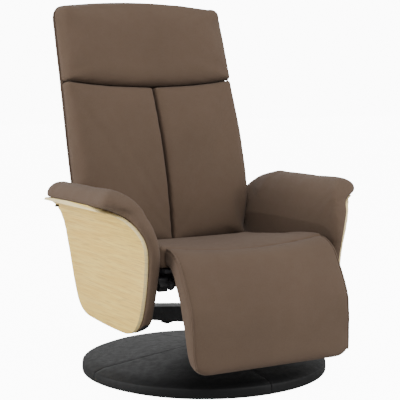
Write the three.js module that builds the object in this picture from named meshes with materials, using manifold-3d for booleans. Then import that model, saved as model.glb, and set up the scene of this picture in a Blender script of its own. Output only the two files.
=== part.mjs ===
// Swivel recliner armchair with a built-in leg rest.
// Millimetres, +Z up. The origin is on the swivel axis at floor level, the chair faces -Y,
// and +X is the left-hand side of the person who sits in it.
import * as THREE from 'three';
import { mergeVertices } from 'three/addons/utils/BufferGeometryUtils.js';
import Module from 'manifold-3d';

// ---- driving dimensions ---------------------------------------------------------------------
const GAP = 0.3;                     // between pieces that touch

const BASE_RADIUS = 347;
const RIM_HEIGHT = 31;
const CONE_TOP = 75.6;               // height the base cone would reach on the axis
const CONE_FALL = 0.1156;            // drop of the cone for each millimetre of radius
const PAD_THICK = 4;
const COLUMN_RADIUS = 25;
const COLUMN_TOP = 112;
const SPINDLE_RADIUS = 15;
const SPINDLE_TOP = 134;

const BEAM_HALF = 265.7;
const BEAM_DEPTH = 60;
const BEAM_BOLT_X = 120;

const BACK_LEAN = 15.4;              // degrees from upright at rest
const BACK_FOOT = [179, 355];        // y, z where the front seam of the back meets the seat
const FRAME_PIVOT = [195, 345];      // y, z of the back's pivot on the frame ears
const SEAT_PIVOT_ARM = 46;           // from the frame pivot down to the pivot on the seat
const ROD_PIVOT_ARM = 120;           // from the frame pivot down to the push rod's pin
const HALF_RECLINE = 16;             // degrees: half of the recline travel
const KNEE = [-285, 335];            // y, z of the leg rest's hinge shaft
const LEVER_ARM = 38;                // from the hinge shaft to the push rod's front pin
const HALF_LIFT = 32.5;              // degrees: half of the leg rest's travel
const SEAT_TRAVEL = 25.3;

const STEEL = 6;                     // thickness of the mechanism plates
const RAIL_X = 228;                  // inner faces of the plates, from the outside in
const TAB_X = 218;
const SEAT_RAIL_X = 206;
const LEG_ARM_X = 196;
const ROD_X = 186;
const ROLLER_Z = 296;
const ROLLER_RADIUS = 6;
const ROLLER_YS = { front: -60, rear: 120 };
const KNOB = [-207, ROLLER_Z];       // y, z of the friction knob
const PIN_RADIUS = 5;
const EAR_CLEARANCE = 2.5;           // radial clearance of the open pivots: in the frame ears,
const ROD_CLEARANCE = 3.7;           // and at the rear end of the push rods

const SHELL_THICK = 11;
const ARM_X = 311;                   // outer face of the arm below the flare

const SIDES = { left: 1, right: -1 };
const DEG = Math.PI / 180;

// ---- materials ------------------------------------------------------------------------------
const finish = (color, roughness, metalness = 0) =>
  new THREE.MeshStandardMaterial({ color, roughness, metalness });
const FABRIC = finish(0x6d5b4c, 0.9);
const LEATHERETTE = finish(0x3b3c3e, 0.55);
const OAK = finish(0xdcc69a, 0.5);
const PLYWOOD = finish(0xb89b6c, 0.7);
const BLACK_STEEL = finish(0x141415, 0.45, 0.6);
const BARE_STEEL = finish(0x9a9c9e, 0.35, 1);
const BLACK_PLASTIC = finish(0x0d0d0e, 0.5);
const NYLON = finish(0xd8d5c8, 0.5);
const FELT = finish(0x1c1c1c, 0.95);
const WEBBING = finish(0x2b2622, 0.85);

// ---- solids ---------------------------------------------------------------------------------
const wasm = await Module();
wasm.setup();

const chair = new THREE.Group();

function add(name, geometry, material, parent = chair) {
  const mesh = new THREE.Mesh(geometry, material);
  mesh.name = name;
  parent.add(mesh);
  return mesh;
}

function box(low, high) {
  const size = high.map((value, i) => value - low[i]);
  const middle = high.map((value, i) => (value + low[i]) / 2);
  return new THREE.BoxGeometry(...size).translate(...middle);
}

// A profile of [radius, height] points turned about Z.
function turned(profile, segments = 64) {
  const points = profile.map(([radius, height]) => new THREE.Vector2(radius, height));
  return new THREE.LatheGeometry(points, segments).rotateX(Math.PI / 2);
}

// A shape drawn in (y, z), as thick as the span between two distances from the middle plane.
function plate(shape, side, nearX, farX, curveSegments = 8) {
  const settings = { depth: farX - nearX, bevelEnabled: false, curveSegments };
  const startX = side > 0 ? nearX : -farX;
  return new THREE.ExtrudeGeometry(shape, settings)
    .rotateX(Math.PI / 2)
    .rotateZ(Math.PI / 2)
    .translate(startX, 0, 0);
}

// A round bar along X between two distances from the middle plane.
function crossPin([y, z], radius, side, nearX, farX, segments = 16) {
  return new THREE.CylinderGeometry(radius, radius, farX - nearX, segments)
    .rotateZ(Math.PI / 2)
    .translate(side * (nearX + farX) / 2, y, z);
}

function outline(points) {
  return new THREE.Shape(points.map(([u, v]) => new THREE.Vector2(u, v)));
}

function drill(shape, [y, z], radius) {
  shape.holes.push(new THREE.Path().absarc(y, z, radius, 0, 2 * Math.PI, true));
  return shape;
}

// A slot for a round pin that moves along Y from y0 to y1.
function slot(shape, y0, y1, z, radius) {
  const path = new THREE.Path();
  path.absarc(y1, z, radius, -Math.PI / 2, Math.PI / 2, false);
  path.absarc(y0, z, radius, Math.PI / 2, 1.5 * Math.PI, false);
  path.closePath();
  shape.holes.push(path);
  return shape;
}

// The outline round two or more circles joined by their tangents: [y, z, radius] each.
function linkOutline(circles, steps = 14) {
  const points = [];
  circles.forEach(([y, z, radius]) => {
    for (let i = 0; i < steps; i += 1) {
      const angle = (i / steps) * 2 * Math.PI;
      points.push([y + radius * Math.cos(angle), z + radius * Math.sin(angle)]);
    }
  });
  return outline(convexHull(points));
}

function convexHull(points) {
  const sorted = [...points].sort((a, b) => a[0] - b[0] || a[1] - b[1]);
  const turn = (o, a, b) => (a[0] - o[0]) * (b[1] - o[1]) - (a[1] - o[1]) * (b[0] - o[0]);
  const half = (list) => {
    const chain = [];
    list.forEach((point) => {
      while (chain.length > 1 && turn(chain.at(-2), chain.at(-1), point) <= 1e-6) chain.pop();
      chain.push(point);
    });
    return chain.slice(0, -1);
  };
  return [...half(sorted), ...half(sorted.reverse())];
}

// A cushion block: an outline with rounded corners, and rounded long edges.
function cushion(shape, depth, edge) {
  const settings = {
    depth: depth - 2 * edge,
    bevelEnabled: true,
    bevelThickness: edge,
    bevelSize: edge,
    bevelOffset: -edge,
    bevelSegments: 3,
    curveSegments: 5,
  };
  return new THREE.ExtrudeGeometry(shape, settings).translate(0, 0, edge);
}

// A polygon whose corners are rounded to one radius.
function roundedOutline(points, radius) {
  const shape = new THREE.Shape();
  points.forEach((corner, i) => {
    const here = new THREE.Vector2(...corner);
    const before = new THREE.Vector2(...points.at(i - 1));
    const after = new THREE.Vector2(...points[(i + 1) % points.length]);
    const enter = here.clone().add(before.sub(here).setLength(radius));
    const leave = here.clone().add(after.sub(here).setLength(radius));
    if (i === 0) shape.moveTo(enter.x, enter.y);
    else shape.lineTo(enter.x, enter.y);
    shape.quadraticCurveTo(here.x, here.y, leave.x, leave.y);
  });
  shape.closePath();
  return shape;
}

// ---- joining and cutting --------------------------------------------------------------------
function solid(geometry) {
  const bare = geometry.clone();
  bare.deleteAttribute('normal');
  bare.deleteAttribute('uv');
  const merged = mergeVertices(bare, 1e-3);
  return new wasm.Manifold(new wasm.Mesh({
    numProp: 3,
    vertProperties: new Float32Array(merged.attributes.position.array),
    triVerts: new Uint32Array(merged.index.array),
  }));
}

function fromSolid(made) {
  const mesh = made.getMesh();
  const geometry = new THREE.BufferGeometry();
  geometry.setAttribute('position', new THREE.BufferAttribute(mesh.vertProperties, 3));
  geometry.setIndex(new THREE.BufferAttribute(mesh.triVerts, 1));
  geometry.computeVertexNormals();
  return geometry;
}

// ---- base -----------------------------------------------------------------------------------
const coneHeight = (radius) => CONE_TOP - CONE_FALL * radius;

function addBase() {
  const discTop = PAD_THICK + GAP + 8;
  const coreFloor = discTop + GAP;
  const flangeTop = coreFloor + 6;
  const skin = 2.5;
  const collarFloor = coneHeight(COLUMN_RADIUS) + 0.5;

  add('floor_pad', turned([[0, 0], [332, 0], [335, PAD_THICK], [0, PAD_THICK]]), FELT);
  add('base_disc', turned([[0, PAD_THICK + GAP], [338, PAD_THICK + GAP], [338, discTop],
    [0, discTop]]), BLACK_STEEL);
  add('base_core', turned([
    [74, coreFloor], [338, coreFloor], [342, RIM_HEIGHT - 4], [334, coneHeight(334) - skin - GAP],
    [28, coneHeight(28) - skin - GAP], [28, 24], [74, 24], [74, coreFloor],
  ]), PLYWOOD);
  add('base_cover', turned([
    [343, PAD_THICK], [346, PAD_THICK], [BASE_RADIUS, 9], [BASE_RADIUS, RIM_HEIGHT - 4],
    [345.4, RIM_HEIGHT], [341, coneHeight(341) - 1.2], [334, coneHeight(334)],
    [30, coneHeight(30)], [27, coneHeight(27) - skin], [334, coneHeight(334) - skin],
    [340, coneHeight(341) - skin - 1], [343, RIM_HEIGHT - 4], [343, PAD_THICK],
  ]), LEATHERETTE);
  add('base_column', turned([
    [0, coreFloor], [70, coreFloor], [70, flangeTop], [COLUMN_RADIUS, flangeTop],
    [COLUMN_RADIUS, COLUMN_TOP], [SPINDLE_RADIUS, COLUMN_TOP],
    [SPINDLE_RADIUS, SPINDLE_TOP - 2], [SPINDLE_RADIUS - 2, SPINDLE_TOP], [0, SPINDLE_TOP],
  ], 40), BLACK_STEEL);
  add('column_collar', turned([
    [COLUMN_RADIUS + 0.4, collarFloor], [44, collarFloor], [41, collarFloor + 6],
    [COLUMN_RADIUS + 3, collarFloor + 9], [COLUMN_RADIUS + 0.4, collarFloor + 9],
    [COLUMN_RADIUS + 0.4, collarFloor],
  ], 40), BLACK_PLASTIC);
  add('thrust_bearing', turned([
    [SPINDLE_RADIUS + 0.3, COLUMN_TOP + GAP], [30, COLUMN_TOP + GAP], [30, COLUMN_TOP + 7.7],
    [SPINDLE_RADIUS + 0.3, COLUMN_TOP + 7.7], [SPINDLE_RADIUS + 0.3, COLUMN_TOP + GAP],
  ], 40), BARE_STEEL);
}

// ---- swivel frame ---------------------------------------------------------------------------
const HUB_HALF = 40;
const beamRise = (x) => Math.max(0, Math.abs(x) - HUB_HALF) / (BEAM_HALF - HUB_HALF);
const beamTop = (x) => 188 + 21 * beamRise(x);
const beamFloor = (x) => 141 + 35 * beamRise(x);

function beamSolid(wall, depth) {
  const ends = BEAM_HALF - wall;
  const shape = outline([
    [-ends, beamFloor(BEAM_HALF) - wall], [-HUB_HALF, beamFloor(0) - wall],
    [HUB_HALF, beamFloor(0) - wall], [ends, beamFloor(BEAM_HALF) - wall],
    [ends, beamTop(BEAM_HALF) - wall], [HUB_HALF, beamTop(0) - wall],
    [-HUB_HALF, beamTop(0) - wall], [-ends, beamTop(BEAM_HALF) - wall],
  ]);
  return solid(new THREE.ExtrudeGeometry(shape, { depth, bevelEnabled: false })
    .rotateX(Math.PI / 2)
    .translate(0, depth / 2, 0));
}

function addSwivelFrame() {
  const wall = 4;
  const hubFloor = COLUMN_TOP + 8;
  const hubTop = beamFloor(0) - GAP;
  add('swivel_hub', turned([
    [SPINDLE_RADIUS + 0.4, hubFloor], [34, hubFloor], [34, hubTop], [0, hubTop],
    [0, SPINDLE_TOP + 1.5], [SPINDLE_RADIUS + 0.4, SPINDLE_TOP + 1.5],
    [SPINDLE_RADIUS + 0.4, hubFloor],
  ], 40), BLACK_STEEL);
  const channel = beamSolid(0, BEAM_DEPTH).subtract(beamSolid(wall, BEAM_DEPTH - 2 * wall));
  add('cross_beam', fromSolid(channel), BLACK_STEEL);
  Object.entries(SIDES).forEach(([sideName, side]) => addFrameSide(sideName, side));
}

function addFrameSide(sideName, side) {
  const headTop = beamFloor(BEAM_BOLT_X - 17) - 1;
  add(`beam_foot_bolt_${sideName}`, turned([
    [0, headTop - 7], [8, headTop - 7], [9, headTop - 3], [17, headTop - 3], [17, headTop],
    [0, headTop],
  ], 18).translate(side * BEAM_BOLT_X, 0, 0), BLACK_STEEL);

  const foot = beamTop(RAIL_X + STEEL) + GAP;
  const [pivotY, pivotZ] = FRAME_PIVOT;
  const rail = outline([
    [-228, 283], [-36, 283], [-30, 275], [-30, foot], [38, foot], [38, 275], [46, 283],
    [214, 283], [224, 290], [214, 334], [208, pivotZ + 11], [195, pivotZ + 16],
    [182, pivotZ + 11], [176, 334], [170, 309], [-228, 309], [-236, 303], [-236, 289],
  ]);
  Object.values(ROLLER_YS).forEach((y) => {
    slot(rail, y - SEAT_TRAVEL, y, ROLLER_Z, ROLLER_RADIUS + 0.6);
  });
  drill(rail, KNOB, 4.6);
  drill(rail, [pivotY, pivotZ], PIN_RADIUS + 1 + EAR_CLEARANCE);
  add(`side_rail_${sideName}`, plate(rail, side, RAIL_X, RAIL_X + STEEL), BLACK_STEEL);

  const clampShape = drill(roundedOutline([
    [KNOB[0] - 13, KNOB[1] - 12], [KNOB[0] + 13, KNOB[1] - 12],
    [KNOB[0] + 13, KNOB[1] + 12], [KNOB[0] - 13, KNOB[1] + 12],
  ], 4), KNOB, 4.6);
  add(`friction_block_${sideName}`, plate(clampShape, side, 217, RAIL_X - GAP), BARE_STEEL);
  addKnob(sideName, side);

  const bracket = roundedOutline([
    [-90, beamFloor(BEAM_HALF) + 2], [90, beamFloor(BEAM_HALF) + 2], [90, 300], [-90, 300],
  ], 12);
  add(`arm_bracket_${sideName}`, plate(bracket, side, ARM_BRACKET_X, ARM_PAD_X - GAP),
    BLACK_STEEL);
  addArm(sideName, side);
}

// A six-lobed hand knob, moulded round its threaded stud.
function addKnob(sideName, side) {
  const points = [];
  const lobes = 6;
  const steps = 48;
  for (let i = 0; i < steps; i += 1) {
    const angle = (i / steps) * 2 * Math.PI;
    const radius = 17 + 2.6 * Math.cos(lobes * angle);
    points.push([KNOB[0] + radius * Math.cos(angle), KNOB[1] + radius * Math.sin(angle)]);
  }
  const grip = solid(plate(outline(points), side, 237, 262));
  const stud = solid(crossPin(KNOB, 4, side, 212.8, 240));
  add(`hand_knob_${sideName}`, fromSolid(grip.add(stud)), BLACK_PLASTIC);
}

// ---- arms -----------------------------------------------------------------------------------
const ARM_BRACKET_X = BEAM_HALF + GAP;
const ARM_PAD_X = 272;

// The outer face of the bent shell in (x, z): upright, then flaring out to a lip.
const ARM_FACE = new THREE.SplineCurve([
  [ARM_X, 140], [ARM_X, 250], [ARM_X, 350], [320, 410], [344, 455], [373, 480], [405, 489],
].map(([x, z]) => new THREE.Vector2(x, z)));

// Outline of the shell seen from the side, in (y, z). It runs past the lip, which ends it.
function shellOutline() {
  const shape = new THREE.Shape();
  shape.moveTo(-120, 158);
  shape.quadraticCurveTo(-30, 156, 100, 165);
  shape.quadraticCurveTo(158, 170, 182, 212);
  shape.quadraticCurveTo(215, 275, 244, 360);
  shape.quadraticCurveTo(262, 440, 186, 496);
  shape.lineTo(-60, 502);
  shape.quadraticCurveTo(-160, 496, -200, 468);
  shape.quadraticCurveTo(-243, 440, -240, 391);
  shape.lineTo(-226, 300);
  shape.quadraticCurveTo(-216, 240, -198, 206);
  shape.quadraticCurveTo(-172, 160, -120, 158);
  return shape;
}

// Outline of the upholstery, which stands out past the shell at the front and over the top.
function padOutline() {
  const shape = new THREE.Shape();
  shape.moveTo(-110, 157);
  shape.quadraticCurveTo(-30, 155, 100, 164);
  shape.quadraticCurveTo(158, 169, 182, 211);
  shape.quadraticCurveTo(218, 275, 246, 360);
  shape.quadraticCurveTo(268, 430, 270, 490);
  shape.quadraticCurveTo(268, 548, 200, 560);
  shape.lineTo(-80, 560);
  shape.quadraticCurveTo(-200, 552, -240, 460);
  shape.quadraticCurveTo(-262, 420, -258, 380);
  shape.lineTo(-240, 290);
  shape.quadraticCurveTo(-226, 225, -206, 192);
  shape.quadraticCurveTo(-180, 158, -110, 157);
  return shape;
}

// A cross-section in (x, z) run along Y and trimmed to a side outline.
function armSolid(section, sideOutline, side) {
  const reach = 320;
  const mirrored = section.map(([x, z]) => [side * x, z]);
  const run = new THREE.ExtrudeGeometry(outline(mirrored), { depth: 2 * reach, bevelEnabled: false })
    .rotateX(Math.PI / 2)
    .translate(0, reach, 0);
  return solid(run).intersect(solid(plate(sideOutline, side, 200, 480, 7)));
}

function offsetFace(distance, steps) {
  const points = [];
  for (let i = 0; i <= steps; i += 1) {
    const at = ARM_FACE.getPointAt(i / steps);
    const along = ARM_FACE.getTangentAt(i / steps);
    points.push([at.x - along.y * distance, at.y + along.x * distance]);
  }
  return points;
}

function addArm(sideName, side) {
  const steps = 14;
  const shell = [...offsetFace(0, steps), ...offsetFace(SHELL_THICK, steps).reverse()];
  add(`arm_shell_${sideName}`, fromSolid(armSolid(shell, shellOutline(), side)), OAK);

  const backing = offsetFace(SHELL_THICK + GAP, steps);
  const roll = [
    [410, 504], [406, 524], [392, 540], [370, 546], [345, 540], [322, 524], [304, 498],
    [290, 458], [279, 410], [ARM_PAD_X, 350], [ARM_PAD_X, 140],
  ];
  const pad = fromSolid(armSolid([...backing, ...roll], padOutline(), side));
  add(`arm_pad_${sideName}`, pad, FABRIC);
  add(`arm_lip_button_${sideName}`, turned([[0, 472], [6, 472], [6, 476], [4, 478.5], [0, 478.5]], 14)
    .translate(side * 384, 150, 0), BLACK_PLASTIC);
}

// ---- seat -----------------------------------------------------------------------------------
const towardsRear = (from, arm, degrees) =>
  [from[0] + arm * Math.sin(degrees * DEG), from[1] - arm * Math.cos(degrees * DEG)];
const SEAT_PIVOT = towardsRear(FRAME_PIVOT, SEAT_PIVOT_ARM, HALF_RECLINE);
const ROD_REAR = towardsRear(FRAME_PIVOT, ROD_PIVOT_ARM, HALF_RECLINE);
const ROD_FRONT = towardsRear(KNEE, LEVER_ARM, HALF_LIFT);
const SHAFT_RADIUS = 10;
const PAN_Z = 327;
const PAN_TOP = 337;
const PAN_REAR = 156;
const PAN_FRONT = -224;

function addSeat() {
  const board = 50;
  const inner = 246 - board;
  add('pan_front_board', box([-inner + GAP, PAN_FRONT, PAN_Z],
    [inner - GAP, PAN_FRONT + 34, PAN_TOP]), BLACK_STEEL);
  add('pan_rear_board', box([-inner + GAP, PAN_REAR - 34, PAN_Z],
    [inner - GAP, PAN_REAR, PAN_TOP]), BLACK_STEEL);
  const strapYs = [-128, -34, 60];
  strapYs.forEach((y, i) => {
    add(`seat_webbing_${i + 1}`, box([GAP - inner, y - 32, PAN_Z + 5],
      [inner - GAP, y + 32, PAN_Z + 8]), WEBBING);
  });

  const seatShape = roundedOutline([[-262, -228], [262, -228], [262, 157], [-262, 157]], 34);
  add('seat_cushion', cushion(seatShape, 56, 14).translate(0, 0, PAN_TOP + GAP), FABRIC);

  const [kneeY, kneeZ] = KNEE;
  add('knee_shaft', crossPin(KNEE, SHAFT_RADIUS, 1, -216, 216, 20), BLACK_STEEL);
  const roll = drill(new THREE.Shape().absarc(0, 0, 44, 0, 2 * Math.PI, false), [0, 0],
    SHAFT_RADIUS + GAP);
  add('knee_roll', new THREE.ExtrudeGeometry(roll, {
    depth: 356, bevelEnabled: false, curveSegments: 12,
  }).rotateY(Math.PI / 2).translate(-178, kneeY, kneeZ), FABRIC);

  add('seat_rear_tube', crossPin([140, 311], 8, 1, -205.7, 205.7), BLACK_STEEL);
  Object.entries(SIDES).forEach(([sideName, side]) => addSeatSide(sideName, side));
}

function addSeatSide(sideName, side) {
  const boardEnds = [side * 196, side * 246].sort((a, b) => a - b);
  add(`pan_side_board_${sideName}`, box([boardEnds[0], PAN_FRONT, PAN_Z],
    [boardEnds[1], PAN_REAR, PAN_TOP]), BLACK_STEEL);

  const [kneeY, kneeZ] = KNEE;
  const [pivotY, pivotZ] = SEAT_PIVOT;
  const railTop = PAN_Z - GAP;
  const rail = outline([
    [kneeY - 13, kneeZ - 9], [kneeY - 4, kneeZ - 16], [-240, 312], [-200, 284], [150, 284],
    [pivotY - 10, pivotZ - 12], [pivotY + 9, pivotZ - 10], [pivotY + 13, pivotZ + 2],
    [pivotY + 8, pivotZ + 11], [pivotY - 16, pivotZ + 18], [156, railTop], [-236, railTop],
    [kneeY + 12, kneeZ + 11], [kneeY, kneeZ + 16], [kneeY - 12, kneeZ + 11],
    [kneeY - 16, kneeZ],
  ]);
  drill(rail, KNEE, SHAFT_RADIUS + 0.4);
  drill(rail, SEAT_PIVOT, PIN_RADIUS + 1.6);
  Object.values(ROLLER_YS).forEach((y) => drill(rail, [y, ROLLER_Z], 4.1));
  add(`seat_rail_${sideName}`, plate(rail, side, SEAT_RAIL_X, SEAT_RAIL_X + STEEL), BLACK_STEEL);

  Object.entries(ROLLER_YS).forEach(([end, y]) => {
    const axle = solid(crossPin([y, ROLLER_Z], 3.8, side, SEAT_RAIL_X - 2, 230, 14));
    const wheel = solid(crossPin([y, ROLLER_Z], ROLLER_RADIUS, side, 226, 236, 18));
    add(`slide_roller_${end}_${sideName}`, fromSolid(axle.add(wheel)), NYLON);
  });
}

// ---- leg rest -------------------------------------------------------------------------------
function addLegRest() {
  const front = [[-338, 276], [-356, 236], [-366, 190], [-371, 130], [-374, 92], [-366, 80]];
  const rear = [[-350, 78], [-341, 90], [-325, 134], [-310, 196], [-296, 244], [-284, 277]];
  const pad = outline([...front, ...rear]);
  const board = outline([
    [-336, 96], [-320.5, 138], [-305.5, 198], [-293, 240], [-285.5, 262],
    [-279, 262], [-286.5, 238], [-299, 195], [-314, 135.5], [-329.5, 94],
  ]);
  const bevelled = { bevelEnabled: true, bevelThickness: 12, bevelSize: 5, bevelOffset: -5 };
  add('leg_pad', new THREE.ExtrudeGeometry(pad, { depth: 456, bevelSegments: 2, ...bevelled })
    .rotateX(Math.PI / 2).rotateZ(Math.PI / 2).translate(-228, 0, 0), FABRIC);
  add('leg_board', plate(board, 1, -205, 205), PLYWOOD);

  Object.entries(SIDES).forEach(([sideName, side]) => {
    const [kneeY, kneeZ] = KNEE;
    const arm = outline([
      [kneeY - 15, kneeZ + 5], [kneeY - 15, kneeZ - 8], [ROD_FRONT[0] - 18, ROD_FRONT[1] - 18],
      [-278, 262], [-285, 240], [-298, 195], [-302, 180], [-296, 178], [-282, 205],
      [-262, 270], [ROD_FRONT[0] + 9, ROD_FRONT[1] - 6], [ROD_FRONT[0] + 9, ROD_FRONT[1] + 6],
      [kneeY + 15, kneeZ - 4], [kneeY + 13, kneeZ + 9], [kneeY, kneeZ + 16],
      [kneeY - 10, kneeZ + 13],
    ]);
    drill(arm, KNEE, SHAFT_RADIUS + 0.4);
    const armSolidPart = solid(plate(arm, side, LEG_ARM_X, LEG_ARM_X + STEEL));
    const pin = solid(crossPin(ROD_FRONT, PIN_RADIUS, side, ROD_X - 3, LEG_ARM_X + 2));
    add(`leg_arm_${sideName}`, fromSolid(armSolidPart.add(pin)), BLACK_STEEL);

    const rod = linkOutline([[...ROD_FRONT, 9], [...ROD_REAR, 12.5]]);
    drill(rod, ROD_FRONT, PIN_RADIUS + 0.4);
    drill(rod, ROD_REAR, PIN_RADIUS + ROD_CLEARANCE);
    add(`push_rod_${sideName}`, plate(rod, side, ROD_X, ROD_X + STEEL - 1), BLACK_STEEL);
  });
}

// ---- back -----------------------------------------------------------------------------------
// Drawn upright in its own group: x across, y towards the rear, z up along the back.
function addBack() {
  const back = new THREE.Group();
  back.position.set(0, ...BACK_FOOT);
  back.rotation.x = -BACK_LEAN * DEG;
  chair.add(back);

  const tube = new THREE.Shape().absarc(0, 0, 10, 0, 2 * Math.PI, false);
  const half = 207.7;
  const corner = 60;
  const top = 640;
  const path = new THREE.CurvePath();
  const node = (x, z) => new THREE.Vector3(x, 50, z);
  path.add(new THREE.LineCurve3(node(-half, 34), node(-half, top - corner)));
  path.add(new THREE.QuadraticBezierCurve3(node(-half, top - corner), node(-half, top),
    node(corner - half, top)));
  path.add(new THREE.LineCurve3(node(corner - half, top), node(half - corner, top)));
  path.add(new THREE.QuadraticBezierCurve3(node(half - corner, top), node(half, top),
    node(half, top - corner)));
  path.add(new THREE.LineCurve3(node(half, top - corner), node(half, 34)));
  add('back_frame', new THREE.ExtrudeGeometry(tube, {
    steps: 64, bevelEnabled: false, extrudePath: path, curveSegments: 5,
  }), BLACK_STEEL, back);
  add('back_cross_bar', box([-197.4, 42, 40], [197.4, 58, 56]), BLACK_STEEL, back);
  [190, 370].forEach((z, i) => {
    add(`back_webbing_${i + 1}`, box([-196, 45, z - 30], [196, 48, z + 30]), WEBBING, back);
  });

  const front = -18;
  const rear = 38;
  const upright = (geometry) => geometry.rotateX(Math.PI / 2).translate(0, rear, 0);
  Object.entries(SIDES).forEach(([sideName, side]) => {
    const panel = roundedOutline([
      [3, 12], [260, 16], [284, 130], [284, 458], [3, 446],
    ].map(([x, z]) => [side * x, z]), 26);
    add(`back_cushion_${sideName}`, upright(cushion(panel, rear - front, 10)), FABRIC, back);
  });
  const head = roundedOutline([
    [0, 449], [284, 461], [284, 560], [268, 706], [140, 724], [0, 729], [-140, 724],
    [-268, 706], [-284, 560], [-284, 461],
  ], 26);
  add('headrest_cushion', upright(cushion(head, rear - front + 3, 10)), FABRIC, back);
  const tail = roundedOutline([[-192, -50], [192, -50], [192, 6], [-192, 6]], 12);
  add('lower_back_pad', upright(cushion(tail, 27, 6)), FABRIC, back);
  const rearShape = roundedOutline([
    [-238, 70], [238, 70], [244, 560], [226, 700], [-226, 700], [-244, 560],
  ], 30);
  add('rear_panel', cushion(rearShape, 26, 9).rotateX(Math.PI / 2).translate(0, 88, 0), FABRIC,
    back);

  Object.entries(SIDES).forEach(([sideName, side]) => addBackTab(sideName, side));
}

// A point given as the distance behind the back's front seam and the height along it, in (y, z).
function backPoint(rearwards, up) {
  const [y, z] = BACK_FOOT;
  const sine = Math.sin(BACK_LEAN * DEG);
  const cosine = Math.cos(BACK_LEAN * DEG);
  return [y + rearwards * cosine + up * sine, z - rearwards * sine + up * cosine];
}

// The steel tab under each side of the back, with its three welded pins.
function addBackTab(sideName, side) {
  const tab = outline([
    [69, -112], [78, -120], [89, -117], [93, -107], [88, -90], [66, -44], [60, -12], [60, 62],
    [55, 68], [46, 68], [41, 62], [41, 16], [34, 9], [18, 10], [8, 6], [3, -5], [7, -16],
    [27, -38], [30, -54],
  ].map(([rearwards, up]) => backPoint(rearwards, up)));
  const parts = [
    plate(tab, side, TAB_X, TAB_X + STEEL),
    crossPin(FRAME_PIVOT, PIN_RADIUS + 1, side, TAB_X + 2, RAIL_X + STEEL + 3),
    crossPin(SEAT_PIVOT, PIN_RADIUS + 1, side, SEAT_RAIL_X - 2, TAB_X + 2),
    crossPin(ROD_REAR, PIN_RADIUS, side, ROD_X - 3, TAB_X + 2),
  ];
  const made = parts.map(solid).reduce((whole, part) => whole.add(part));
  add(`back_tab_${sideName}`, fromSolid(made), BLACK_STEEL);
}

addBase();
addSwivelFrame();
addSeat();
addLegRest();
addBack();

export default chair;
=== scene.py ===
import math

import bmesh
import bpy
from mathutils import Matrix, Vector
from mathutils.bvhtree import BVHTree


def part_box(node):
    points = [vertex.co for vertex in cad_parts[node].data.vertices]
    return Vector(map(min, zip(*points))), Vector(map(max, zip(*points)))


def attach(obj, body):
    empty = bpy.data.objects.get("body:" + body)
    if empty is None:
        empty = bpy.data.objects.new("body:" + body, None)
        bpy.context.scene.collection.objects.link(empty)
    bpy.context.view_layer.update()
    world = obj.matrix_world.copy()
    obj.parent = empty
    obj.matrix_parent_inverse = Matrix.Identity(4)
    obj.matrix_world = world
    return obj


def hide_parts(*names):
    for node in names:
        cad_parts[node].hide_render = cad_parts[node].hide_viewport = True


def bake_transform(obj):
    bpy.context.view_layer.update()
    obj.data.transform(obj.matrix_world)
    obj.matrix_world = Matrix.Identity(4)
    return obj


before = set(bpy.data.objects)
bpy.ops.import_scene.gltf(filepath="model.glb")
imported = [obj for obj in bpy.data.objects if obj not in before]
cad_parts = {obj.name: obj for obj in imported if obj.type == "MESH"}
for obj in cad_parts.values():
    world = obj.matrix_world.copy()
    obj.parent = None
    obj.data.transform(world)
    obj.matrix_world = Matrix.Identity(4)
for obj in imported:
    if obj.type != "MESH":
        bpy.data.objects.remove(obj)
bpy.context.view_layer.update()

# ---- sizes, in metres -----------------------------------------------------------------------
BACK_LEAN = math.radians(15.4)
BACK_FOOT = Vector((0.0, 0.179, 0.355))     # where the front seam of the back meets the seat
BACK_FRONT = -0.002                         # faces of the unstuffed back panels, from that seam
BACK_JOIN = 0.035                           # rearwards to the welt between front and rear covers
BACK_REAR = 0.086
BACK_TOP = 0.734                            # height along the back at its middle
BACK_HALF = 0.286                           # half the width of its front before it is shaped
BACK_CUT_FOOT = -0.012                      # where the front panels start along the back
LUMBAR_DEPTH = 0.021                        # how far the back fills out at the waist
LEG_HALF = 0.246                            # half the width of the leg rest at the knee
LEG_TAPER = 0.030                           # how much narrower it is at its foot, as a share
LEG_JOIN = -0.219                           # y of the cross seam between seat and leg rest
ROLL_INNER = 0.320                          # x from which the roll of an arm is drawn in
ROLL_OUTER = 0.405                          # and x of its outer edge before that
WELT_RADIUS = 0.0028
SOFT_GAP = 0.0012                           # between soft pieces that press on each other
SHARP = math.radians(50)                    # edges of hard pieces that turn more are eased
SHADED_ROUND = math.radians(38)             # and those that turn less look round

# ---- stuffing -------------------------------------------------------------------------------
VOXEL = 0.006                               # cell size that a cover is remeshed to
STUFFING_FRAMES = 20
STUFFING_PRESSURE = 4.0
SEWN = "sewn"                               # the vertex group that holds a cover at its seams
SOFTENING = 14                              # smoothing passes on the free parts of a cover

# ---- light and camera -----------------------------------------------------------------------
WHITE = 11.0                                # strength of the white that the camera sees behind
ROOM_STRENGTH = 0.66                        # strength of the white that lights the chair
LIGHTS = (                                  # name, place, width in metres, power in watts
    ("key", (-0.5, -2.5, 3.8), 2.6, 90),
    ("fill", (2.6, -2.2, 2.0), 2.6, 58),
    ("side", (-3.2, 1.0, 0.9), 1.8, 90),
    ("rear", (1.2, 3.0, 2.4), 2.4, 30),
)
LIGHT_AIM = Vector((0.0, 0.0, 0.5))
CAMERA_PLACE = (-1.675, -2.861, 0.8445)
CAMERA_DIP = 0.1085                         # radians below level
CAMERA_TURN = -0.5263                       # radians about the upright axis
CAMERA_LENS = 106.3
CAMERA_SENSOR = 36.0


# ---- modelling tools ------------------------------------------------------------------------
def deselect_all():
    if bpy.context.object and bpy.context.object.mode != "OBJECT":
        bpy.ops.object.mode_set(mode="OBJECT")
    bpy.ops.object.select_all(action="DESELECT")


def choose(piece):
    deselect_all()
    piece.select_set(True)
    bpy.context.view_layer.objects.active = piece


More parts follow.
